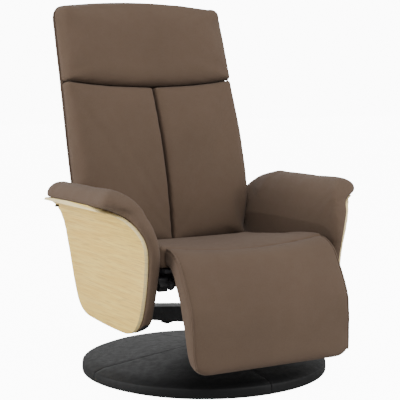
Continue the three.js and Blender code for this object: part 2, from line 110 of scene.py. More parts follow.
def settle(piece):
    """Puts the piece's place into its mesh, so that its object sits at the origin."""
    choose(piece)
    bpy.ops.object.transform_apply(location=True, rotation=True, scale=True)
    return piece


def named(name):
    piece = bpy.context.object
    piece.name = name
    piece.data.name = name
    return piece


def add_block(name, low, high):
    low, high = Vector(low), Vector(high)
    deselect_all()
    bpy.ops.mesh.primitive_cube_add(size=1, location=(low + high) / 2, scale=high - low)
    return settle(named(name))


def pick(piece, kind, test):
    """Enters edit mode with only those parts selected that pass test(middle, part)."""
    choose(piece)
    bpy.ops.object.mode_set(mode="EDIT")
    bpy.ops.mesh.select_mode(type=kind)
    bpy.ops.mesh.select_all(action="DESELECT")
    mesh = bmesh.from_edit_mesh(piece.data)
    parts = {"VERT": mesh.verts, "EDGE": mesh.edges, "FACE": mesh.faces}[kind]
    for part in parts:
        corners = [part] if kind == "VERT" else part.verts
        middle = sum((c.co for c in corners), Vector()) / len(corners)
        part.select_set(test(middle, part))
    mesh.select_flush_mode()
    bmesh.update_edit_mesh(piece.data)


def leave_edit():
    bpy.ops.object.mode_set(mode="OBJECT")


def fit(piece, kind, **values):
    """Adds one modifier with these values and applies it."""
    choose(piece)
    modifier = piece.modifiers.new(kind.lower(), kind)
    for key, value in values.items():
        setattr(modifier, key, value)
    bpy.ops.object.modifier_apply(modifier=modifier.name)
    return piece


def reshape(piece, rule):
    """Moves every vertex to where the rule says."""
    for vertex in piece.data.vertices:
        vertex.co = rule(vertex.co.copy())
    piece.data.update()


def face_outwards(piece):
    pick(piece, "FACE", lambda middle, face: True)
    bpy.ops.mesh.normals_make_consistent(inside=False)
    leave_edit()
    return piece


def merged_copy(node, name):
    """A copy of a frame node's mesh as a new piece, with its loose triangles joined up."""
    choose(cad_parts[node])
    bpy.ops.object.duplicate()
    piece = named(name)
    for key in list(piece.keys()):
        del piece[key]
    piece.parent = None
    piece.data.materials.clear()
    pick(piece, "VERT", lambda middle, vertex: True)
    bpy.ops.mesh.remove_doubles(threshold=0.00002)
    bpy.ops.mesh.customdata_custom_splitnormals_clear()
    leave_edit()
    return piece


def ease_corners(piece, width):
    """Breaks the sharp edges of a hard piece and shades the rest of it smooth."""
    fit(piece, "BEVEL", width=width, segments=2, limit_method="ANGLE", angle_limit=SHARP)
    choose(piece)
    bpy.ops.object.shade_smooth_by_angle(angle=SHADED_ROUND)


def mirrored(piece, name):
    """The same piece on the other side, with its own mesh."""
    choose(piece)
    bpy.ops.object.duplicate()
    twin = named(name)
    twin.scale.x = -1
    settle(twin)
    return face_outwards(twin)


def clamped(share):
    """The share, kept from 0 to 1."""
    return min(1.0, max(0.0, share))


def smooth(share):
    """Eases from 0 to 1 without a corner."""
    share = clamped(share)
    return share * share * (3 - 2 * share)


def along(points, share):
    """A point on the smooth curve through the points, from share 0 at its start to 1 at its end."""
    spans = len(points) - 1
    at = clamped(share) * spans
    i = min(spans - 1, int(at))
    t = at - i
    before, start = Vector(points[max(0, i - 1)]), Vector(points[i])
    end, after = Vector(points[i + 1]), Vector(points[min(spans, i + 2)])
    leave, arrive = (end - before) / 2, (after - start) / 2
    bend = 3 * (end - start) - 2 * leave - arrive
    return start + leave * t + bend * t ** 2 + (2 * (start - end) + leave + arrive) * t ** 3


def draw_line(name, points):
    """A chain of edges through the points, drawn by extruding one vertex."""
    deselect_all()
    bpy.ops.mesh.primitive_plane_add(size=0.001, location=points[0])
    line = settle(named(name))
    pick(line, "VERT", lambda middle, vertex: True)
    bpy.ops.mesh.merge(type="CENTER")
    for start, end in zip(points, points[1:]):
        move = Vector(end) - Vector(start)
        bpy.ops.mesh.extrude_region_move(TRANSFORM_OT_translate={"value": move})
    leave_edit()
    return line


def as_welt(line, radius):
    """Turns a chain of edges into a round sewn-in cord."""
    name = line.name
    choose(line)
    bpy.ops.object.convert(target="CURVE")
    curve = bpy.context.object
    curve.data.bevel_depth = radius
    curve.data.bevel_resolution = 3
    curve.data.use_fill_caps = True
    bpy.ops.object.convert(target="MESH")
    bpy.ops.object.shade_smooth()
    return named(name)


def stuff(piece, held, limit, voxel=VOXEL):
    """Fills a closed cover with padding. held(point) is 1 where the cover is sewn down and 0
    where it is free, and limit is how far the padding may push it."""
    fit(piece, "REMESH", mode="VOXEL", voxel_size=voxel)
    fit(piece, "SMOOTH", factor=0.5, iterations=2)
    sewn = piece.vertex_groups.new(name=SEWN)
    for vertex in piece.data.vertices:
        sewn.add([vertex.index], held(vertex.co), "REPLACE")
    swell(piece, limit)
    fit(piece, "SMOOTH", factor=0.5, iterations=SOFTENING, vertex_group=SEWN,
        invert_vertex_group=True)
    fit(piece, "SMOOTH", factor=0.5, iterations=2)
    fit(piece, "SUBSURF", levels=1, render_levels=1)
    piece.vertex_groups.clear()
    choose(piece)
    bpy.ops.object.shade_smooth()


def upholster(piece, shape, held, limit, voxel=VOXEL):
    """Divides a cut piece finely, gives it its shape and stuffs it."""
    fit(piece, "REMESH", mode="VOXEL", voxel_size=voxel)
    reshape(piece, shape)
    stuff(piece, held, limit, voxel)


def swell(piece, limit):
    """Blows the cover up as cloth, and lets no point go further than the limit."""
    flat = [vertex.co.copy() for vertex in piece.data.vertices]
    cloth = piece.modifiers.new("padding", "CLOTH")
    cloth.settings.use_pressure = True
    cloth.settings.uniform_pressure_force = STUFFING_PRESSURE
    cloth.settings.vertex_group_mass = SEWN
    cloth.settings.effector_weights.gravity = 0.0
    cloth.point_cache.frame_start = 1
    cloth.point_cache.frame_end = STUFFING_FRAMES
    for number in range(1, STUFFING_FRAMES + 1):
        bpy.context.scene.frame_set(number)
    choose(piece)
    bpy.ops.object.modifier_apply(modifier=cloth.name)
    for vertex, start in zip(piece.data.vertices, flat):
        push = vertex.co - start
        vertex.co = start + push * limit / (limit + push.length)
    bpy.context.scene.frame_set(1)


def finish(piece, body, material, slot, *nodes):
    """Gives a piece its finish, its body and the frame nodes that it stands for."""
    if not piece.data.materials:
        piece.data.materials.append(material)
    if nodes:
        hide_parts(*nodes)
    if body:
        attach(piece, body)


# ---- finishes -------------------------------------------------------------------------------
class Graph:
    """Adds nodes to a material or a node group, and links them."""

    def __init__(self, tree):
        self.tree = tree

    def node(self, kind, inputs=None, **settings):
        made = self.tree.nodes.new(kind)
        for key, value in settings.items():
            setattr(made, key, value)
        for key, value in (inputs or {}).items():
            self.feed(made.inputs[key], value)
        return made

    def feed(self, socket, value):
        if isinstance(value, bpy.types.NodeSocket):
            self.tree.links.new(value, socket)
        else:
            socket.default_value = value

    def math(self, operation, *values, clamp=False):
        made = self.node("ShaderNodeMath", operation=operation, use_clamp=clamp)
        for socket, value in zip(made.inputs, values):
            self.feed(socket, value)
        return made.outputs[0]

    def spread(self, value, low, high, to_low=0.0, to_high=1.0):
        """Maps the values from low to high onto the range from to_low to to_high."""
        inputs = {"Value": value, "From Min": low, "From Max": high}
        inputs.update({"To Min": to_low, "To Max": to_high})
        return self.node("ShaderNodeMapRange", inputs).outputs["Result"]

    def stretched(self, vector, scale):
        return self.node("ShaderNodeMapping", {"Vector": vector, "Scale": scale}).outputs["Vector"]

    def noise(self, vector, scale, detail=3.0, roughness=0.5, distortion=0.0):
        inputs = {"Vector": vector, "Scale": scale, "Detail": detail}
        inputs.update({"Roughness": roughness, "Distortion": distortion})
        return self.node("ShaderNodeTexNoise", inputs).outputs["Fac"]

    def mix(self, share, first, second):
        made = self.node("ShaderNodeMix", data_type="RGBA")
        for socket, value in zip((made.inputs[0], made.inputs[6], made.inputs[7]),
                                 (share, first, second)):
            self.feed(socket, value)
        return made.outputs[2]

    def group(self, name, inputs):
        made = self.node("ShaderNodeGroup", node_tree=bpy.data.node_groups[name])
        for key, value in inputs.items():
            self.feed(made.inputs[key], value)
        return made.outputs


def new_group(name, inputs, outputs):
    """A node group with named inputs, as (name, kind, value), and named outputs."""
    tree = bpy.data.node_groups.new(name, "ShaderNodeTree")
    for label, kind, value in inputs:
        made = tree.interface.new_socket(label, in_out="INPUT", socket_type="NodeSocket" + kind)
        if value is not None:
            made.default_value = value
    for label, kind in outputs:
        tree.interface.new_socket(label, in_out="OUTPUT", socket_type="NodeSocket" + kind)
    graph = Graph(tree)
    return graph, graph.node("NodeGroupInput").outputs, graph.node("NodeGroupOutput").inputs


def add_weave_group():
    """Plain weave drawn along each of the three axes, shown where the surface faces that axis."""
    graph, given, result = new_group(
        "weave",
        [("Place", "Vector", None), ("Facing", "Vector", None), ("Threads", "Float", 900.0)],
        [("Height", "Float"), ("Slub", "Float")],
    )
    scaled = graph.node("ShaderNodeVectorMath", {0: given["Place"]}, operation="SCALE")
    graph.feed(scaled.inputs["Scale"], given["Threads"])
    wander = graph.noise(given["Place"], 90.0, detail=2.0)
    place = graph.node("ShaderNodeSeparateXYZ", {0: scaled.outputs[0]}).outputs
    facing = graph.node("ShaderNodeSeparateXYZ", {0: given["Facing"]}).outputs
    shift = graph.math("MULTIPLY", wander, 2.5)
    waves = [graph.math("SINE", graph.math("ADD", axis, shift)) for axis in place]
    total, weight_sum = 0.0, 0.0001
    for face, (first, second) in enumerate(((1, 2), (0, 2), (0, 1))):
        check = graph.math("MULTIPLY", waves[first], waves[second])
        weight = graph.math("POWER", graph.math("ABSOLUTE", facing[face]), 4.0)
        total = graph.math("ADD", graph.math("MULTIPLY", check, weight), total)
        weight_sum = graph.math("ADD", weight, weight_sum)
    graph.feed(result["Height"], graph.math("DIVIDE", total, weight_sum))
    graph.feed(result["Slub"], graph.noise(given["Place"], 420.0, detail=1.0))


def add_mottle_group():
    """Slow variation over a surface, from worn and faded to deep."""
    graph, given, result = new_group(
        "mottle",
        [("Place", "Vector", None), ("Size", "Float", 5.0)],
        [("Broad", "Float"), ("Fine", "Float")],
    )
    broad = graph.noise(given["Place"], given["Size"], detail=3.0, distortion=0.4)
    fine = graph.noise(given["Place"], graph.math("MULTIPLY", given["Size"], 9.0), detail=4.0)
    graph.feed(result["Broad"], graph.spread(broad, 0.3, 0.7))
    graph.feed(result["Fine"], graph.spread(fine, 0.3, 0.7))


def add_wear_group():
    """Edges that are rubbed paler, broken up by fine noise, and a mask of creases that is used for
    painted shade.
    """
    graph, given, result = new_group(
        "wear",
        [("Place", "Vector", None), ("Amount", "Float", 1.0)],
        [("Edge", "Float"), ("Crease", "Float")],
    )
    pointed = graph.node("ShaderNodeNewGeometry").outputs["Pointiness"]
    broken = graph.noise(given["Place"], 160.0, detail=4.0, roughness=0.65)
    edge = graph.math("MULTIPLY", graph.spread(pointed, 0.52, 0.62), broken)
    graph.feed(result["Edge"], graph.math("MULTIPLY", edge, given["Amount"], clamp=True))
    # painted shade: this mask is 1 in hollows and creases, where the surface is darkened as if in
    # shadow
    graph.feed(result["Crease"], graph.spread(pointed, 0.49, 0.42))


def add_grain_group():
    """Straight-cut timber: long pores, growth bands and slow colour drift."""
    graph, given, result = new_group(
        "timber",
        [("Place", "Vector", None)],
        [("Band", "Float"), ("Pore", "Float"), ("Drift", "Float")],
    )
    place = given["Place"]
    band_place = graph.stretched(place, (10.0, 5.0, 130.0))
    band = graph.noise(band_place, 1.0, detail=5.0, roughness=0.6, distortion=0.5)
    pore_place = graph.stretched(place, (60.0, 14.0, 420.0))
    pore = graph.noise(pore_place, 1.0, detail=2.0)
    drift = graph.noise(graph.stretched(place, (3.0, 1.2, 9.0)), 1.0, detail=2.0)
    graph.feed(result["Band"], graph.spread(band, 0.35, 0.65))
    graph.feed(result["Pore"], graph.spread(pore, 0.52, 0.66))
    graph.feed(result["Drift"], graph.spread(drift, 0.3, 0.7))


def add_pebble_group():
    """Embossed hide grain: rounded cells with shallow creases between them."""
    graph, given, result = new_group(
        "pebble",
        [("Place", "Vector", None), ("Cells", "Float", 420.0)],
        [("Height", "Float")],
    )
    cells = graph.node("ShaderNodeTexVoronoi", {"Vector": given["Place"], "Scale": given["Cells"]},
                       feature="DISTANCE_TO_EDGE")
    fine = graph.noise(given["Place"], graph.math("MULTIPLY", given["Cells"], 3.0), detail=2.0)
    rounded = graph.spread(cells.outputs["Distance"], 0.0, 0.22)
    graph.feed(result["Height"], graph.math("ADD", rounded, graph.math("MULTIPLY", fine, 0.25)))


def new_material(name):
    material = bpy.data.materials.new(name)
    material.use_nodes = True
    graph = Graph(material.node_tree)
    shader = material.node_tree.nodes["Principled BSDF"]
    return material, graph, shader, graph.node("ShaderNodeTexCoord").outputs


def bump(graph, shader, height, strength, depth):
    """Turns a height into relief on the shader, depth metres deep."""
    made = graph.node("ShaderNodeBump", {"Height": height, "Strength": strength, "Distance": depth})
    graph.feed(shader.inputs["Normal"], made.outputs["Normal"])


def upholstery_material():
    """Brown woven fabric with raised threads, slubs, slightly rubbed edges and painted shade in its
    creases.
    """
    material, graph, shader, at = new_material("upholstery")
    weave = graph.group("weave", {"Place": at["Object"], "Facing": at["Normal"], "Threads": 2600.0})
    mottle = graph.group("mottle", {"Place": at["Object"], "Size": 4.0})
    wear = graph.group("wear", {"Place": at["Object"], "Amount": 0.5})
    brown, faded_brown = (0.102, 0.0655, 0.043, 1), (0.116, 0.0755, 0.050, 1)
    raised_thread, dark_slub = (0.153, 0.108, 0.077, 1), (0.057, 0.035, 0.022, 1)
    rubbed_pile, shadow = (0.155, 0.12, 0.09, 1), (0.04, 0.028, 0.02, 1)
    cloth = graph.mix(mottle["Broad"], brown, faded_brown)
    lift = graph.spread(weave["Height"], -1.0, 1.0, 0.0, 0.22)
    thread = graph.mix(lift, cloth, raised_thread)
    knot = graph.spread(weave["Slub"], 0.45, 0.75, 0.0, 0.16)
    slub = graph.mix(knot, thread, dark_slub)
    rubbed = graph.mix(graph.math("MULTIPLY", wear["Edge"], 0.3), slub, rubbed_pile)
    # painted shade: creases and hollows of the cover are darkened toward the shadow colour
    deep = graph.mix(graph.math("MULTIPLY", wear["Crease"], 0.5), rubbed, shadow)
    graph.feed(shader.inputs["Base Color"], deep)
    graph.feed(shader.inputs["Roughness"], graph.spread(mottle["Fine"], 0.0, 1.0, 0.82, 0.94))
    shader.inputs["Specular IOR Level"].default_value = 0.25
    shader.inputs["Sheen Weight"].default_value = 0.05
    shader.inputs["Sheen Roughness"].default_value = 0.6
    height = graph.math("ADD", weave["Height"], graph.math("MULTIPLY", weave["Slub"], 1.2))
    bump(graph, shader, height, 0.35, 0.0004)
    return material


def lining_material():
    """Black pressed-fibre lining."""
    material, graph, shader, at = new_material("black_lining")
    fibres = graph.noise(at["Object"], 700.0, detail=4.0, roughness=0.7)
    pressed = graph.node("ShaderNodeTexVoronoi", {"Vector": at["Object"], "Scale": 380.0})
    black, grey_black = (0.006, 0.006, 0.007, 1), (0.022, 0.021, 0.021, 1)
    graph.feed(shader.inputs["Base Color"], graph.mix(fibres, black, grey_black))
    graph.feed(shader.inputs["Roughness"], graph.spread(fibres, 0.3, 0.7, 0.8, 0.95))
    height = graph.math("ADD", fibres, pressed.outputs["Distance"])
    bump(graph, shader, height, 0.3, 0.0006)
    return material


def leatherette_material():
    """Black embossed leatherette, with painted shade in the valleys of its grain."""
    material, graph, shader, at = new_material("base_leatherette")
    pebble = graph.group("pebble", {"Place": at["Object"], "Cells": 520.0})
    mottle = graph.group("mottle", {"Place": at["Object"], "Size": 7.0})
    wear = graph.group("wear", {"Place": at["Object"], "Amount": 0.8})
    black, worn_black = (0.0065, 0.0067, 0.007, 1), (0.0088, 0.009, 0.0093, 1)
    crease_shade_black, rubbed_grey = (0.005, 0.005, 0.0052, 1), (0.045, 0.0455, 0.047, 1)
    hide = graph.mix(mottle["Broad"], black, worn_black)
    # painted shade: the valleys between the grain's cells are coloured darker, as if in shadow
    valley_shade = graph.spread(pebble["Height"], 0.0, 0.5, 0.5, 0.0)
    crease_shaded = graph.mix(valley_shade, hide, crease_shade_black)
    rubbed = graph.mix(wear["Edge"], crease_shaded, rubbed_grey)
    graph.feed(shader.inputs["Base Color"], rubbed)
    graph.feed(shader.inputs["Roughness"], graph.spread(mottle["Fine"], 0.0, 1.0, 0.52, 0.64))
    shader.inputs["Specular IOR Level"].default_value = 0.2
    bump(graph, shader, pebble["Height"], 0.35, 0.0003)
    return material


def oak_material(name, light, dark, pore_colour):
    """Straight-grained wood in two tones, with darker pores and a thin clear coat."""
    material, graph, shader, at = new_material(name)
    timber = graph.group("timber", {"Place": at["Object"]})
    wear = graph.group("wear", {"Place": at["Object"], "Amount": 0.5})
    banded = graph.mix(timber["Band"], light, dark)
    drifted = graph.mix(graph.math("MULTIPLY", timber["Drift"], 0.35), banded, light)
    pored = graph.mix(graph.math("MULTIPLY", timber["Pore"], 0.45), drifted, pore_colour)
    pale = graph.mix(graph.math("MULTIPLY", wear["Edge"], 0.5), pored, light)
    graph.feed(shader.inputs["Base Color"], pale)
    graph.feed(shader.inputs["Roughness"], graph.spread(timber["Band"], 0.0, 1.0, 0.42, 0.54))
    shader.inputs["Coat Weight"].default_value = 0.08
    shader.inputs["Coat Roughness"].default_value = 0.35
    height = graph.math("SUBTRACT", graph.math("MULTIPLY", timber["Band"], 0.3), timber["Pore"])
    bump(graph, shader, height, 0.25, 0.0003)
    return material


def plywood_material():
    """Plywood stained nearly black."""
    stain, dark_stain = (0.030, 0.024, 0.019, 1), (0.018, 0.014, 0.011, 1)
    return oak_material("plywood", stain, dark_stain, (0.006, 0.005, 0.004, 1))


def webbing_material():
    """Dark elastic webbing with paler stripes along it."""
    material, graph, shader, at = new_material("webbing")
    weave = graph.group("weave", {"Place": at["Object"], "Facing": at["Normal"], "Threads": 1400.0})
    dark_thread, pale_thread = (0.016, 0.013, 0.011, 1), (0.045, 0.038, 0.032, 1)
    stripe_thread = (0.10, 0.085, 0.07, 1)
    colour = graph.mix(graph.spread(weave["Height"], -1.0, 1.0), dark_thread, pale_thread)
    striped = graph.node("ShaderNodeTexWave", {"Vector": at["Object"], "Scale": 14.0},
                         bands_direction="Y")
    stripe = graph.math("MULTIPLY", striped.outputs["Fac"], 0.2)
    graph.feed(shader.inputs["Base Color"], graph.mix(stripe, colour, stripe_thread))
    graph.feed(shader.inputs["Roughness"], graph.spread(weave["Slub"], 0.3, 0.7, 0.75, 0.92))
    bump(graph, shader, weave["Height"], 0.5, 0.0006)
    return material


def felt_material():
    """Black felt."""
    material, graph, shader, at = new_material("felt")
    fibres = graph.noise(at["Object"], 900.0, detail=5.0, roughness=0.75, distortion=1.5)
    black, lint = (0.007, 0.007, 0.007, 1), (0.03, 0.03, 0.03, 1)
    graph.feed(shader.inputs["Base Color"], graph.mix(fibres, black, lint))
    graph.feed(shader.inputs["Roughness"], graph.spread(fibres, 0.3, 0.7, 0.88, 0.99))
    shader.inputs["Sheen Weight"].default_value = 0.3
    bump(graph, shader, fibres, 0.5, 0.0008)
    return material


def steel_material(name, low, high, metal, rough, scratch):
    """Painted or bare steel: low and high are its two tones, scratch how worn its edges are."""
    material, graph, shader, at = new_material(name)
    mottle = graph.group("mottle", {"Place": at["Object"], "Size": 14.0})
    wear = graph.group("wear", {"Place": at["Object"], "Amount": scratch})
    brushed = graph.noise(graph.stretched(at["Object"], (40.0, 900.0, 900.0)), 1.0, detail=3.0)
    tone = graph.mix(mottle["Broad"], low, high)
    worn_steel = (0.32, 0.32, 0.33, 1)
    graph.feed(shader.inputs["Base Color"], graph.mix(wear["Edge"], tone, worn_steel))
    graph.feed(shader.inputs["Roughness"],
               graph.spread(mottle["Fine"], 0.0, 1.0, rough - 0.06, rough + 0.08))
    shader.inputs["Metallic"].default_value = metal
    bump(graph, shader, brushed, 0.12, 0.0002)
    return material


def plastic_material(name, low, high, rough):
    """Moulded plastic with a fine spark-eroded texture."""
    material, graph, shader, at = new_material(name)
    spark = graph.noise(at["Object"], 1500.0, detail=2.0)
    mottle = graph.group("mottle", {"Place": at["Object"], "Size": 20.0})
    wear = graph.group("wear", {"Place": at["Object"], "Amount": 0.3})
    tone = graph.mix(mottle["Broad"], low, high)
    worn_plastic = (0.12, 0.12, 0.12, 1)
    graph.feed(shader.inputs["Base Color"], graph.mix(wear["Edge"], tone, worn_plastic))
    graph.feed(shader.inputs["Roughness"], graph.spread(spark, 0.3, 0.7, rough, rough + 0.12))
    bump(graph, shader, spark, 0.2, 0.0002)
    return material


def build_finishes():
    """Every material, under the name of the material slot that it fills."""
    for add_group in (add_weave_group, add_mottle_group, add_wear_group, add_grain_group,
                      add_pebble_group):
        add_group()
    oak, dark_oak, oak_pore = (1.0, 0.72, 0.175, 1), (0.84, 0.52, 0.100, 1), (0.52, 0.27, 0.07, 1)
    cut_oak, dark_cut_oak = (1.0, 0.83, 0.42, 1), (1.0, 0.77, 0.34, 1)
    cut_pore = (0.60, 0.45, 0.28, 1)
    steel, bright_steel = (0.42, 0.42, 0.43, 1), (0.55, 0.55, 0.56, 1)
    ivory, pale_ivory = (0.62, 0.60, 0.54, 1), (0.70, 0.68, 0.62, 1)
    black, soft_black = (0.006, 0.006, 0.007, 1), (0.011, 0.011, 0.012, 1)
    return {
        "upholstery": upholstery_material(),
        "lining": lining_material(),
        "base_leatherette": leatherette_material(),
        "oak_shell": oak_material("oak_shell", oak, dark_oak, oak_pore),
        "oak_edge": oak_material("oak_edge", cut_oak, dark_cut_oak, cut_pore),
        "plywood": plywood_material(),
        "webbing": webbing_material(),
        "felt": felt_material(),
        "bare_steel": steel_material("bare_steel", steel, bright_steel, 1.0, 0.34, 0.4),
        "nylon": plastic_material("nylon", ivory, pale_ivory, 0.42),
        "black_plastic": plastic_material("black_plastic", black, soft_black, 0.38),
        "black_steel": steel_material("black_steel", black, soft_black, 0.0, 0.45, 0.25),
    }


def finish_frame_nodes(finishes):
    """Gives every frame node the finish that its own material slot is named for."""
    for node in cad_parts.values():
        for place in node.material_slots:
            name = place.material.name.split(".")[0]
            place.material = finishes.get(name, finishes["black_steel"])


# ---- back -----------------------------------------------------------------------------------
# The back is drawn upright and then leant: x across, y rearwards from its front seam, z along it.
def back_half_width(up):
    """Half the width of the back, narrow at its foot and a little so again at its top."""
    lower = smooth(up / 0.14)
    upper = max(0.0, (up - 0.50) / 0.22)
    waist = math.sin(math.pi * clamped(up / 0.46))
    return 0.265 + 0.021 * lower + 0.004 * waist - 0.003 * upper ** 2


def headrest_seam(x):
    """Height of the seam under the headrest, which rises towards both sides."""
    return 0.4627 + 0.0213 * (x / BACK_HALF) ** 2


def back_top(x):
    """Height of the back's arched top."""
    return BACK_TOP - 0.019 * (x / 0.27) ** 2


def lumbar(up, rearwards):
    """How far the front of the back stands forward at this height, to fill the sitter's waist."""
    share = clamped((up - BACK_CUT_FOOT) / 0.48)
    depth = clamped((BACK_JOIN - rearwards) / (BACK_JOIN - BACK_FRONT))
    return LUMBAR_DEPTH * math.sin(math.pi * share) * depth


def lean(piece):
    """Tips an upright piece to the back's slope."""
    piece.matrix_world = Matrix.Translation(BACK_FOOT) @ Matrix.Rotation(-BACK_LEAN, 4, "X")
    return settle(piece)


def round_edges(piece, width, segments=3):
    """Rounds every edge of a block before it is stuffed."""
    return fit(piece, "BEVEL", width=width, segments=segments, limit_method="NONE")


def tuck(rearwards):
    """How much narrower the back is at this depth than at its widest, as a share."""
    forward = max(0.0, (0.030 - rearwards) / 0.032)
    backward = max(0.0, (rearwards - 0.036) / 0.052)
    return 1 - 0.045 * forward ** 2 - 0.135 * backward ** 2


def near_join(rearwards):
    """1 where the front cover is sewn to the rear one, 0 in front of that."""
    return smooth((rearwards - 0.026) / 0.006)


def seam_corner(x, inside):
    """1 in the outer corners at the headrest's seam, so that they stay square."""
    return smooth((abs(x) - 0.262) / 0.012) * smooth(inside / 0.010)


def add_back_panels(finishes):
    """The two upright panels of the back, sewn together down the middle."""
    foot, head, half, corner_depth = BACK_CUT_FOOT, 0.478, BACK_HALF, 0.024
    panel = add_block("back_panel_left", (0.003, BACK_FRONT, foot), (half, BACK_JOIN, head))
    round_edges(panel, 0.006)

    def spread_out(p):
        top = headrest_seam(p.x) - SOFT_GAP
        up = foot + (p.z - foot) * (top - foot) / (head - foot)
        side = p.x * back_half_width(up) / half * tuck(p.y)
        return Vector((side, p.y - lumbar(up, p.y), up))

    def held(p):
        corner = seam_corner(p.x, p.z - headrest_seam(p.x) + corner_depth)
        return max(near_join(p.y), smooth((0.012 - p.x) / 0.006), corner)

    upholster(panel, spread_out, held, limit=0.030)
    reshape(panel, lambda p: Vector((max(p.x, SOFT_GAP), min(p.y, BACK_JOIN),
                                     min(p.z, headrest_seam(p.x) - SOFT_GAP))))
    lean(panel)
    for piece, node in ((panel, "back_cushion_left"),
                        (mirrored(panel, "back_panel_right"), "back_cushion_right")):
        finish(piece, "backrest", finishes["upholstery"], "upholstery", node)


def add_headrest(finishes):
    """The pillow across the top of the back."""
    foot, head, half, corner_depth = 0.464, 0.722, BACK_HALF, 0.024
    pillow = add_block("headrest", (-half, BACK_FRONT - 0.006, foot), (half, BACK_JOIN, head))
    pick(pillow, "EDGE", lambda middle, edge: abs(middle.x) > half * 0.9 and middle.z > head * 0.99)
    bpy.ops.mesh.bevel(offset=0.026, segments=6)
    leave_edit()
    round_edges(pillow, 0.006)

    def spread_out(p):
        bottom = headrest_seam(p.x) + SOFT_GAP
        top = back_top(p.x)
        up = bottom + (p.z - foot) * (top - bottom) / (head - foot)
        return Vector((p.x * back_half_width(up) / half * tuck(p.y), p.y, up))

    def held(p):
        return max(near_join(p.y), seam_corner(p.x, headrest_seam(p.x) + corner_depth - p.z))

    upholster(pillow, spread_out, held, limit=0.026)
    reshape(pillow, lambda p: Vector((p.x, min(p.y, BACK_JOIN),
                                      max(p.z, headrest_seam(p.x) + SOFT_GAP))))
    lean(pillow)
    finish(pillow, "backrest", finishes["upholstery"], "upholstery", "headrest_cushion")


def add_rear_cover(finishes):
    """The rear of the back: foam moulded over the frame, under its cover."""
    foot, head, half, coarse = 0.012, 0.722, 0.285, 0.008
    cover = add_block("rear_cover", (-half, BACK_JOIN + 0.001, foot), (half, BACK_REAR, head))
    pick(cover, "EDGE", lambda middle, edge: abs(middle.x) > half * 0.9 and middle.z > head * 0.99)
    bpy.ops.mesh.bevel(offset=0.026, segments=6)
    leave_edit()
    pick(cover, "EDGE", lambda middle, edge: middle.y > BACK_REAR - 0.001)
    bpy.ops.mesh.bevel(offset=0.022, segments=5)
    leave_edit()

    def spread_out(p):
        top = back_top(p.x) - 0.001
        up = foot + (p.z - foot) * (top - foot) / (head - foot)
        return Vector((p.x * back_half_width(up) / half * tuck(p.y), p.y, up))

    def held(p):
        return smooth((BACK_JOIN + 0.012 - p.y) / 0.008)

    upholster(cover, spread_out, held, limit=0.010, voxel=coarse)
    lean(cover)
    finish(cover, "backrest", finishes["upholstery"], "upholstery", "rear_panel")


def add_back_welt(finishes):
    """The cord sewn in where the front and rear covers of the back meet."""
    side = [Vector((back_half_width(up) - 0.001, BACK_JOIN, up))
            for up in (0.03, 0.08, 0.13, 0.25, 0.40, 0.50, 0.58, 0.64, 0.68)]
    corner = [Vector((0.274, BACK_JOIN, 0.702)), Vector((0.256, BACK_JOIN, 0.714))]
    top = [Vector((x, BACK_JOIN, back_top(x) - 0.003)) for x in (0.20, 0.14, 0.07)]
    left = side + corner + top
    points = left + [Vector((0, BACK_JOIN, back_top(0) - 0.003))]
    points += [Vector((-p.x, p.y, p.z)) for p in reversed(left)]
    steps = 120
    curve = [along(points, i / steps) for i in range(steps + 1)]
    welt = lean(as_welt(draw_line("back_welt", curve), WELT_RADIUS))
    finish(welt, "backrest", finishes["upholstery"], "upholstery")


def add_lower_back(finishes):
    """The tail of the back cover, which closes the gap behind the seat."""
    low, high = (-0.190, 0.012, -0.048), (0.190, 0.036, -0.015)
    tail = lean(round_edges(add_block("lower_back_tail", low, high), 0.006))
    stuff(tail, lambda p: smooth((abs(p.x) - 0.170) / 0.015), limit=0.006, voxel=0.005)
    finish(tail, "backrest", finishes["upholstery"], "upholstery", "lower_back_pad")


# ---- seat and leg rest ----------------------------------------------------------------------
def seam_height(x):
    """Height of the cross seam between the seat and the leg rest's cover."""
    return 0.379 + 0.021 * (x / LEG_HALF) ** 2


def add_seat(finishes):
    """The seat cushion, highest at its front where it meets the leg rest."""
    low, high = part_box("seat_cushion")
    room, rear_height = 0.012, 0.362
    cushion = add_block("seat_cushion_cover", (low.x + 0.003, low.y + 0.010, low.z),
                        (high.x - 0.003, high.y + 0.002, high.z - room))
    round_edges(cushion, 0.007)
    span = cushion.dimensions.y

    def crown(p):
        share = smooth((p.y - low.y) / span)
        top = seam_height(p.x) * (1 - share) + rear_height * share - 0.002
        up = low.z + (p.z - low.z) * (top - low.z) / (high.z - room - low.z)
        return Vector((p.x, p.y, up))

    def held(p):
        under = smooth((low.z + 0.012 - p.z) / 0.008)
        seam = smooth((low.y + 0.026 - p.y) / 0.014)
        return max(under, seam)

    upholster(cushion, crown, held, limit=0.016)
    front, proud = low.y + 0.009, 0.002
    reshape(cushion, lambda p: Vector((min(high.x + proud, max(low.x - proud, p.x)),
                                       max(p.y, front), max(p.z, low.z))))
    finish(cushion, "seat", finishes["upholstery"], "upholstery", "seat_cushion")


# Side view of the leg rest's pad in (y, z), from the cross seam over the knee to its foot.
LEG_FRONT = [(LEG_JOIN, 0.396), (-0.252, 0.390), (-0.288, 0.368), (-0.312, 0.332), (-0.336, 0.290),
             (-0.355, 0.245), (-0.361, 0.200), (-0.364, 0.150), (-0.369, 0.110), (-0.372, 0.080)]
LEG_REAR = [(LEG_JOIN, 0.346), (-0.240, 0.343), (-0.260, 0.322), (-0.274, 0.295), (-0.290, 0.264),
            (-0.300, 0.231), (-0.310, 0.197), (-0.317, 0.158), (-0.324, 0.122), (-0.336, 0.084)]


